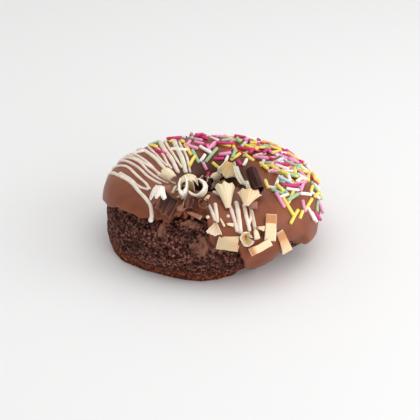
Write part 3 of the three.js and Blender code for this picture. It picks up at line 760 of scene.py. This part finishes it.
strands = {
    "radius": 0.7, "shortest": 4.2, "longest": 8,
    "count": 280, "rightShare": 52,          # the last of them lie at the right, where it is densest
    "rightSector": (8, 34), "rightTilts": (74, 38),      # middle and half width
    "sector": (42, 78), "tilts": (12, 162),
    "inHole": (150, 45, 0.85),               # tilt, half width and the share that is missing
    "atFoot": ((-22, 25), (50, 64), 0.95),   # azimuths and tilts between which they thin out
    "atHeap": ((-8, 10), (86, 96)),
    "spacing": 2.2, "sink": 0.35, "stack": 1.3, "seed": 4060,
    "sides": 8, "bevel": 0.2, "bend": 0.35,
    # colour, how many of a hundred have it, and how much likelier it is at the back and at the right
    "colours": {
        "magenta": ("C8246E", 18, 2.4, 0.6), "pink": ("E79ABF", 15, 2, 0.7),
        "yellow": ("F3D868", 22, 0.8, 1.8), "green": ("9DBF94", 16, 0.8, 1.8),
        "white": ("F3E9E4", 14, 0.8, 1.5), "red": ("C5203A", 4, 1, 0.5),
        "orange": ("E9B04E", 3, 1, 1), "blue": ("CDDDE6", 5, 1.5, 0.8),
    },
    "colourBack": (85, 34), "colourRight": (-12, 30),
    # those that lie apart: colour, azimuth and tilt of both ends
    "apart": [
        # down the right of the front
        ("pink", -40, 72, -44, 51), ("yellow", -40, 62, -42, 39), ("yellow", -28, 61, -40, 54),
        ("yellow", -36, 42, -46, 33), ("yellow", -33, 38, -38, 33), ("pink", -28, 47, -32, 35),
        ("yellow", -19, 40, -32, 37), ("white", -27, 38, -26, 19), ("white", -25, 29, -23, 14),
        ("magenta", -22, 26, -16, 9), ("green", -13, 30, -20, 24), ("white", -25, 54, -17, 43),
        ("white", -15, 45, -10, 30), ("white", -2, 42, 0, 30), ("magenta", 5, 45, 4, 32),
        ("magenta", 18, 43, 10, 36), ("green", 16, 50, 14, 38),
        # beside the heap of curls
        ("green", -38, 80, -34, 61), ("green", -31, 76, -33, 60), ("white", -29, 69, -22, 57),
        ("white", -15, 86, -30, 82), ("yellow", -23, 100, -37, 86),
        # down into the hole
        ("yellow", 52, 105, 30, 109), ("yellow", 58, 122, 52, 108), ("white", 38, 112, 32, 122),
        ("magenta", 48, 119, 36, 123), ("white", 65, 117, 64, 128), ("yellow", 88, 129, 71, 136),
        ("green", 81, 108, 98, 129), ("magenta", 86, 124, 69, 122), ("magenta", 76, 115, 64, 107),
        ("pink", 105, 128, 100, 138), ("white", 109, 127, 98, 118), ("green", 47, 110, 50, 93),
        ("yellow", 113, 119, 135, 131), ("green", 114, 109, 113, 129),
        # over the drizzle at the back left
        ("yellow", 113, 66, 115, 88), ("yellow", 116, 94, 118, 116), ("yellow", 134, 60, 140, 82),
        ("magenta", 143, 82, 145, 101), ("green", 134, 57, 126, 60),
    ],
}


def makeRandom(seed):
    # the same draws each time
    state = seed
    while True:
        state = state * 16807 % 2147483647
        yield state / 2147483647


def strandDensity(azimuth, tilt):
    # over the back and the right, thinning towards the hole, the heap of curls and the front's foot
    at = wrapAngle(azimuth)
    middle, halfWidth, missing = strands["inHole"]
    outside = 1 - missing * plateau(tilt, middle, halfWidth)
    azimuths, tilts, missing = strands["atFoot"]
    foot = 1 - missing * (1 - smoothStep(at, *azimuths)) * (1 - smoothStep(tilt, *tilts))
    azimuths, tilts = strands["atHeap"]
    heap = 1 - (1 - smoothStep(at, *azimuths)) * smoothStep(tilt, *tilts)
    return plateau(azimuth, *strands["sector"]) * outside * foot * heap


def strandBetween(fromAzimuth, fromTilt, toAzimuth, toTilt):
    # middle, turn from level and length of a strand given by its two ends
    line = coatPoint(toAzimuth, toTilt) - coatPoint(fromAzimuth, fromTilt)
    azimuth = (fromAzimuth + toAzimuth) / 2
    tilt = (fromTilt + toTilt) / 2
    upSlope = (coatPoint(azimuth, tilt + 1) - coatPoint(azimuth, tilt)).normalized()
    turn = degrees(atan2(line.dot(upSlope), line.dot(levelAlong(azimuth))))
    return azimuth, tilt, turn, line.length


def strandPlaces():
    # azimuth, tilt, turn, length, middle and layer of each
    draw = makeRandom(strands["seed"])
    placed = []

    def neighbours(middle):
        return sum(1 for other in placed if (other[4] - middle).length < strands["spacing"])

    for _, *ends in strands["apart"]:
        strand = strandBetween(*ends)
        middle = coatPoint(*strand[:2])
        placed.append((*strand, middle, min(neighbours(middle), 1)))
    while len(placed) < strands["count"]:
        azimuth = next(draw) * 360 - 180
        tilt = mix(*strands["tilts"], next(draw))
        turn = next(draw) * 180
        length = mix(strands["shortest"], strands["longest"], next(draw))
        chance = next(draw)
        # fewer fit on the smaller rings near the hole
        spread = section(azimuth, tilt)[0] / (ring["tubeRadius"] + ring["reachOut"])
        if len(placed) >= strands["count"] - strands["rightShare"]:
            spread *= plateau(azimuth, *strands["rightSector"]) * plateau(tilt, *strands["rightTilts"])
        if chance > strandDensity(azimuth, tilt) * spread:
            continue
        middle = coatPoint(azimuth, tilt)
        near = neighbours(middle)
        if near < 2:
            placed.append((azimuth, tilt, turn, length, middle, near))
    return placed


def strandColours(places):
    draw = makeRandom(strands["seed"] + 1)
    chosen = [colour for colour, *_ in strands["apart"]]
    for azimuth, *_ in places[len(chosen):]:
        weights = {}
        for name, (_, share, atBack, atRight) in strands["colours"].items():
            share *= mix(1.0, atBack, plateau(azimuth, *strands["colourBack"]))
            weights[name] = share * mix(1.0, atRight, plateau(azimuth, *strands["colourRight"]))
        left = next(draw) * sum(weights.values())
        for name, weight in weights.items():
            left -= weight
            if left <= 0:
                break
        chosen.append(name)
    return chosen


def strandTemplate():
    # one strand, 1 mm long, its ends cut square and a little rounded
    bm = bmesh.new()
    bmesh.ops.create_cone(
        bm, cap_ends=True, segments=strands["sides"], radius1=strands["radius"],
        radius2=strands["radius"], depth=1.0)
    sides = [e for e in bm.edges if abs(e.verts[0].co.z - e.verts[1].co.z) > 0.5]
    bmesh.ops.subdivide_edges(bm, edges=sides, cuts=1)
    rims = [e for e in bm.edges if abs(e.verts[0].co.z + e.verts[1].co.z) > 0.99]
    bmesh.ops.bevel(
        bm, geom=rims, offset=strands["bevel"], segments=1, profile=0.5, affect="EDGES", material=-1)
    return keepMesh(bm, "strand template")


def addStrand(bm, template, azimuth, tilt, turn, length, layer, number):
    lift = strands["radius"] * (strands["sink"] + strands["stack"] * layer)
    middle, out = onCoat(azimuth, tilt, lift)
    direction = lyingDirection(azimuth, out, turn)
    across = out.cross(direction)
    bow = strands["bend"] * noise.noise((number * 3.1, 0.5, 0.0))
    start = len(bm.verts)
    bm.from_mesh(template)
    bm.verts.ensure_lookup_table()
    for vertex in bm.verts[start:]:
        x, y, z = vertex.co
        if abs(z) < 0.01:
            x += bow
        else:
            z += copysign((length - 1.0) / 2, z)
        vertex.co = (middle + across * x + out * y + direction * z) * mm


def strandMaterial(name, colour):
    # pressed sugar strand: matt to satin, even colour, a little light goes in
    material, tree = newMaterial(name + " sugar strand")
    base = linearColour(colour)
    lighter = [min(1.0, channel * 1.12 + 0.03) for channel in base]
    return finishMaterial(
        material, layColours(tree, base, (objectNoise(tree, 3.0, 2.0), lighter)),
        objectNoise(tree, 0.5, 2.0), 0.05, 0.5, Roughness=0.5, IOR=1.45, Subsurface_Weight=0.15,
        Subsurface_Radius=(0.0008, 0.0006, 0.0005))


places = strandPlaces()
chosenColours = strandColours(places)
template = strandTemplate()
for name, (colour, *_) in strands["colours"].items():
    bm = bmesh.new()
    for number, (azimuth, tilt, turn, length, _, layer) in enumerate(places):
        if chosenColours[number] == name:
            addStrand(bm, template, azimuth, tilt, turn, length, layer, number)
    finishPiece(bm, name + "Strands", strandMaterial(name, colour), "sugar_strands", ["coating"])
print("sugar strands done")


# curls and shavings: thin sheets rolled from one end to the other

sheet = {
    "rolledArc": 250, "winding": 0.12,               # past this arc its end winds inside its start
    "roundCells": 64, "alongCells": 30,
    "ridge": 0.12, "ragged": 0.4, "nicks": 0.3,      # mm
    "ridgeWaves": (5, 12), "ragWaves": (6, 19),              # across half the sheet
    "rimWidth": 0.09,                                # share of the sheet that counts as its rim
    "usual": [0, 0, 0, 1, 0.7],                      # teeth, their depth, bow, stretch and thickness
}

towardsViewer = (0.0, -0.89, 0.45)

# from, to, the side its hollow faces, radii, arcs, and teeth, their depth, bow, stretch and thickness
# where they aren't the usual ones
curls = {
    "white": [
        ((-14.6, -10.9, 31.7), (-18.9, -7.9, 34), (0.1, 0.3, -1), (1.9, 2.7), (170, 150), 2, 0.8, 0.8),
        ((-10.6, -25.7, 29.8), (-10.9, -28.2, 33.3), (0, 0.45, 0.89), (1.6, 1.6), (300, 300),
         0, 0, 0, 2.5, 1),
        ((-2.2, -24.1, 31.3), (-3.5, -28.1, 34.1), (-0.79, 0.28, 0.54), (3.1, 3.1), (230, 230),
         2, 0.6, 0, 1, 1.15),
        ((-19.4, -28.5, 36.8), (-20.2, -33.5, 33.6), (0.2, 0.3, -1), (2.2, 4), (120, 115), 3, 1.4, 0.6),
        ((6.3, -33, 29.8), (5.1, -19.5, 34.2), (0, 0.4, -0.9), (1, 4.8), (110, 110), 3, 1.2, 0.6),
        ((12.8, -36.2, 32.3), (14.6, -24.2, 33.7), (0, 0.4, -0.9), (1, 5.6), (110, 115), 4, 1.2, 0.6),
        ((7.7, 10.8, 28), (6.2, 4.6, 23.8), towardsViewer, (1.6, 4.4), (190, 180), 3, 1),
        ((3.6, 6.7, 25.4), (-0.2, 6.3, 23.5), (0, 0.5, -0.9), (1.2, 1.5), (230, 240), 2, 0.8),
        ((1.6, -39.4, 26.7), (0.9, -42.6, 23.1), towardsViewer, (0.8, 8.5), (60, 42), 1, 0.8),
        ((12.2, -40.6, 21.8), (10.3, -43.4, 22.6), (1, 0, 0), (0.6, 3), (335, 335), 5, 0.8),
        ((-9.1, -9.4, 32.2), (-9, -17.4, 33.3), (0.2, 0, -1), (3.4, 3.7), (170, 160), 2, 1, 0.6),
    ],
    "striped": [
        ((9.6, 4.3, 29.5), (12.9, -14.7, 29.8), (0.4, -0.6, 0.7), (3, 4), (50, 50), 2, 0.8, 0.8),
        ((-3.2, 6.4, 20.1), (-3.2, 2.2, 22.1), (0.2, 0.4, 0.9), (2, 2.1), (320, 320)),
    ],
    "dark": [
        ((17.8, -24.6, 34.3), (14.9, -16.7, 39.2), (0, 0.5, -0.87), (2.5, 2.2), (330, 330)),
        ((-15, -26.6, 31.4), (-18.3, -38.1, 29.6), (0.5, -0.5, 0.7), (6, 9), (60, 46), 2, 1),
        ((-7.8, -28.6, 31.5), (-8, -33.6, 29.9), (0, 0.3, -1), (2.2, 2.6), (150, 130), 1, 0.8),
        ((-3.1, -32.4, 29.1), (-3.1, -36.4, 31.1), (0.1, 0.4, 0.9), (2, 2.1), (310, 310)),
        ((-1.4, -15.1, 28.2), (-2.9, -19.3, 33), (0, 0.79, 0.62), (1.65, 1.65), (320, 320)),
    ],
    "milk": [
        ((-18.8, -22.5, 32.5), (-15.5, -22.5, 33), (0, 0.5, -0.9), (1.5, 1.5), (250, 250)),
        ((14.5, -32.1, 31), (17, -31.9, 30.9), (0, 0.5, -0.9), (1.2, 1.2), (230, 230)),
    ],
}


def sheetAxes(start, end, faces):
    along = Vector(end) - Vector(start)
    length = along.length
    along.normalize()
    across = along.cross(Vector(faces)).normalized()
    return Vector(start) + ringAxis, length, across, along, across.cross(along)


def bothFaces(bm, cells, place):
    # a thin sheet: the grid goes over its outer face and back under the inner one. For the material:
    # side is -1 to 1 across, share 0 to 1 along, hollow 1 deep in the roll, where the materials paint
    # shade, and rim 1 at the edges.
    strips = []
    columns = cells["roundCells"]
    for column in range(2 * columns + 1):
        turn = column / columns - 1
        face = 1.0 if turn < 0 else -1.0
        even = 1 - 2 * abs(turn)
        side = even * (1.5 - 0.5 * even * even)
        strip = []
        for share in shares(cells["alongCells"], 0):
            rim = smoothStep(max(abs(side), abs(2 * share - 1)), 1 - sheet["rimWidth"], 1.0)
            hollow = (1 - face) / 2 * (1 - 0.7 * share)
            strip.append((place(side, share, face), side, share, hollow, rim))
        strips.append(strip)
    return layGrid(bm, strips, ("side", "share", "hollow", "rim"))


def addCurl(bm, row, number, cells):
    start, end, faces, radii, arcs, *rest = row
    teeth, tooth, bow, stretch, thickness = rest + sheet["usual"][len(rest):]
    origin, length, across, along, out = sheetAxes(start, end, faces)
    wide, narrow = sheet["ridgeWaves"]
    long, short = sheet["ragWaves"]

    def place(side, share, face):
        angle = side * radians(mix(*arcs, share)) / 2
        middle = mix(*radii, share)
        tighter = sheet["winding"] * (side + 1) if arcs[0] > sheet["rolledArc"] else 0.0
        thin = sqrt(max(0.0, 1 - abs(side) ** 6) * max(0.0, 1 - abs(2 * share - 1) ** 8))
        grain = noise.noise((side * wide, number * 4.7, share * 0.8))
        grain += 0.8 * noise.noise((side * narrow, number * 4.7, share * 0.9))
        radius = middle * (1 - tighter) + face * thin * thickness / 2 + sheet["ridge"] * grain
        cutBack = tooth * (cos(pi * teeth * side) - 1) / 2 * share ** 2
        rag = sheet["ragged"] * noise.noise((side * long, number * 2.3, 9.0))
        rag += sheet["nicks"] * noise.noise((side * short, number * 2.3, 4.0))
        x = radius * sin(angle)
        y = length * share + cutBack + rag * (2 * share - 1)
        z = stretch * (middle - radius * cos(angle)) - 4 * bow * share * (1 - share)
        return origin + across * x + along * y + out * z

    return bothFaces(bm, cells, place)


def shavedMaterial(name, stops, blade, layers=(), **shader):
    # shaved chocolate: satin, with fine lines along it from the blade, painted shade in its hollow,
    # and another tone along its thin broken rim
    material, tree = newMaterial(name)
    depthMm, lines, breaks = blade
    side = addNode(tree, "Attribute", "Fac", attribute_name="side")
    share = addNode(tree, "Attribute", "Fac", attribute_name="share")
    flat = addNode(tree, "CombineXYZ", X=side, Y=share)
    drawn = addNode(tree, "Mapping", Vector=flat, Scale=(lines, breaks, 1.0))
    marks = addNode(tree, "TexNoise", Vector=drawn, Scale=1.0, Detail=3.0)
    shade = addNode(tree, "ValToRGB", Fac=marks, stops=stops)
    return finishMaterial(material, layColours(tree, shade, *layers), marks, depthMm, 0.8, **shader)


def whiteMaterial(name, tones, hollow):
    # light goes into it; here that is painted: a golden painted shade inside its hollows, and painted
    # light palest along the rim
    return shavedMaterial(
        name, zip((0.34, 0.5, 0.66), tones), (0.12, 14.0, 0.8), [("hollow", hollow), ("rim", "FBF5EA")],
        Roughness=0.45, Subsurface_Weight=0.2, Subsurface_Radius=(0.0012, 0.0008, 0.0004), IOR=1.45)


def darkMaterial(name, tones, hollow, rim, lines):
    # deep brown with lighter streaks where the blade pulled, and nearly black painted shade in its hollow
    return shavedMaterial(
        name, zip((0.38, 0.52, 0.66), tones), (0.06, lines, 0.8), [("hollow", hollow), ("rim", rim)],
        Roughness=0.52, IOR=1.46, Specular_IOR_Level=0.18)


cream = whiteMaterial("white chocolate, shaved", ("DDBE92", "EFDDB6", "F6ECD6"), "D6B26C")
pale = whiteMaterial("white chocolate, bloomed", ("D6C6B4", "EFE6D8", "FAF6EE"), "D0A772")
peach = whiteMaterial("white chocolate, toasted", ("DBA878", "EDCB9C", "F6E4C8"), "C99A5C")
deep = darkMaterial("dark chocolate, shaved", ("260F0D", "3A1C17", "54302A"), "1C0C0A", "6B4038", 8.0)
reddish = darkMaterial(
    "dark and milk chocolate, shaved", ("34160F", "5C3024", "8A5644"), "24100C", "8A5A4A", 4.0)
paleEdged = darkMaterial(
    "dark chocolate, bloomed at its edge", ("1C0C0B", "321A18", "4A2A26"), "0A0404", "C4A69C", 9.0)
# white and dark chocolate shaved together: dark lines run along the sheet
striped = shavedMaterial(
    "white and dark chocolate, marbled",
    [(0.41, "2E1C1A"), (0.45, "E6DAC4"), (0.56, "F4EDDF"), (0.6, "4A302B")], (0.05, 3.6, 0.25),
    Roughness=0.42, IOR=1.45)
# milk chocolate: its hollow colour is painted shade
milk = shavedMaterial(
    "milk chocolate, shaved", [(0.35, "82503E"), (0.7, "B27E6A")], (0.06, 14.0, 0.8),
    [("hollow", "4A2A20"), ("rim", "D0AC98")], Roughness=0.4, IOR=1.46)

# kind of curl: its usual finish, its slot, and the curls with another finish
finishes = {
    "white": (cream, "white_chocolate", {2: pale, 3: pale, 4: pale, 6: peach, 9: pale}),
    "striped": (striped, "striped_chocolate", {}),
    "dark": (deep, "dark_chocolate", {2: reddish, 3: reddish, 4: reddish, 5: paleEdged}),
    "milk": (milk, "milk_chocolate", {}),
}

number = 0
for kind, rows in curls.items():
    usual, slot, others = finishes[kind]
    for count, row in enumerate(rows, 1):
        node = "%s_curl_%d" % (kind, count)
        finish = others.get(count, usual)
        finishPiece(addCurl(bmesh.new(), row, number, sheet), node, finish, slot, [node])
        number += 1
print("curls done")


# slivers and crumbs that broke off the curls and lie between them on the coating

fragments = {
    "roundCells": 10, "alongCells": 8, "radius": 3, "lift": 0.35, "tooth": 0.3, "seed": 40,
    # kind, azimuth and tilt of its middle, turn from level, length, width, how steeply it leans
    "rows": [
        ("white", -47, 105, 60, 5.2, 2.4, 28), ("white", -110, 81, 100, 6.8, 1, 4),
        ("white", -116, 91, 80, 3.6, 1.8, 12), ("white", -93, 92, 60, 3.2, 1.6, 20),
        ("white", -83, 101, 150, 5, 2.6, 16), ("striped", 84, 156, 30, 4.4, 2.4, 10),
        ("striped", 71, 153, 100, 3.6, 2, 14), ("dark", -43, 119, 20, 3.4, 1.8, 12),
        ("dark", -41, 99, 160, 4.2, 2, 10), ("dark", -52, 107, 100, 3, 1.6, 18),
        ("dark", 64, 159, 30, 2.6, 1.6, 10), ("dark", -75, 93, 120, 2.4, 1.4, 12),
        ("dark", -98, 84, 30, 2.2, 1.2, 10), ("milk", -79, 80, 60, 2.2, 1.4, 12),
        ("white", -84, 50, 115, 3.8, 0.9, 12), ("white", -80, 47, 170, 3, 1.5, 14),
        ("white", -66, 50, 82, 7.5, 0.7, 2), ("white", -67, 33, 95, 3.8, 2.6, 8),
        ("dark", -63, 33, 80, 3.4, 2.4, 3), ("milk", -105, 95, 40, 2, 1.2, 8),
        ("white", -114, 106, -90, 4.8, 3.6, 66), ("white", -126, 96, 100, 3.8, 1.2, 34),
        ("dark", -113.5, 92, 90, 5, 2.6, 70), ("white", -121, 104, 20, 5, 2.6, 30),
        ("milk", -128, 63, 90, 2.2, 0.9, 10), ("milk", -109, 68, 30, 4.6, 3.6, 12),
        ("milk", -100, 60, 160, 6, 2, 2), ("dark", -114, 60, 100, 4, 1.6, 8),
    ],
}


def makeFragments(kind):
    bm = bmesh.new()
    radius = fragments["radius"]
    for number, (made, azimuth, tilt, turn, length, width, lean) in enumerate(fragments["rows"]):
        if made == kind:
            point, out = onCoat(azimuth, tilt, fragments["lift"])
            along = lyingDirection(azimuth, out, turn)
            end = along * cos(radians(lean)) + out * sin(radians(lean))
            start = point - ringAxis - along * length / 2
            arc = degrees(width / radius)
            row = (start, start + end * length, -out, (radius, radius), (arc, arc * 0.6), 1,
                   fragments["tooth"])
            addCurl(bm, row, fragments["seed"] + number, fragments)
    return bm


for kind, (material, slot, _) in finishes.items():
    finishPiece(makeFragments(kind), kind + "Fragments", material, slot)
print("fragments done")


# toasted coconut chips

chip = {
    "thickness": 0.8, "roundCells": 24, "alongCells": 36, "uneven": 0.14,
    "toast": ("E2AE80", "CC8B5B"), "rim": "F6E8CC",
    # from, to, widths, bow, lean, its colour, and the shares of its length where its toasting ends
    # and where it is full
    "rows": [
        ((22.4, -33.3, 27.3), (21.8, -39.7, 19.4), (4, 4.3), 0.3, 0, "F3DDB6", (0.39, 0.33)),
        ((14.3, -44.1, 16.8), (22.1, -40.9, 19.6), (3, 2.7), 0.3, 0.1, "F0D8B2", (0.34, 0.1)),
        ((25.4, -35.7, 21.3), (28.8, -34.1, 11.5), (2.8, 4.2), 0.6, 0.2, "F2D0A6", (0.9, 0.1)),
        ((4, -42, 21.9), (10.1, -41.8, 20.5), (0.9, 3.6), 0.3, -0.2, "ECCDA6", (0.1, -0.1)),
        ((2.2, -44.9, 21.5), (10, -44.1, 18.5), (4.6, 2.4), 0.3, 0.2, "C6AD88", (0.78, 0.98)),
        ((16.9, -38.3, 24.3), (19.7, -37.9, 23.6), (0.7, 2.1), 0.2, 0, "ECCDA6", (0.3, 0.1)),
    ],
}


def makeChip(number, start, end, widths, bow, lean):
    faces = Vector(towardsViewer) + Vector((lean, 0, 0))
    origin, length, across, along, out = sheetAxes(start, end, faces)

    def place(side, share, face):
        thin = sqrt(max(0.0, 1 - abs(side) ** 16) * max(0.0, 1 - abs(2 * share - 1) ** 20))
        uneven = chip["uneven"] * noise.noise((share * 3.5, number * 3.7, side))
        z = face * thin * chip["thickness"] / 2 + 4 * bow * share * (1 - share)
        x = side * (mix(*widths, share) / 2 + uneven)
        y = length * share + chip["uneven"] * noise.noise((side * 2.5, number * 5.1, 2 * share))
        return origin + across * x + along * y + out * z

    return bothFaces(bmesh.new(), chip, place)


def chipMaterial(number, colour, toasting):
    # dried coconut: cream and fibrous, browned by toasting at one end
    material, tree = newMaterial("toasted coconut %d" % number)
    share = addNode(tree, "Attribute", "Fac", attribute_name="share")
    reached = addNode(tree, "MapRange", Value=share, From_Min=toasting[0], From_Max=toasting[1])
    toast = addNode(
        tree, "Math", operation="MULTIPLY_ADD", Value=objectNoise(tree, 2.2), Value_001=0.4,
        Value_002=reached)
    browned = addNode(
        tree, "ValToRGB", Fac=toast, stops=zip((0.12, 0.34, 0.8, 1.0), (colour, colour) + chip["toast"]))
    return finishMaterial(
        material, layColours(tree, browned, ("rim", chip["rim"])), objectNoise(tree, 0.6), 0.08, 0.7,
        Roughness=0.6, Subsurface_Weight=0.12, Subsurface_Radius=(0.0012, 0.0008, 0.0004))


for number, row in enumerate(chip["rows"]):
    node = "coconut_chip_%d" % (number + 1)
    material = chipMaterial(number + 1, *row[5:])
    finishPiece(makeChip(number, *row[:5]), node, material, "coconut", [node])
print("coconut chips done")
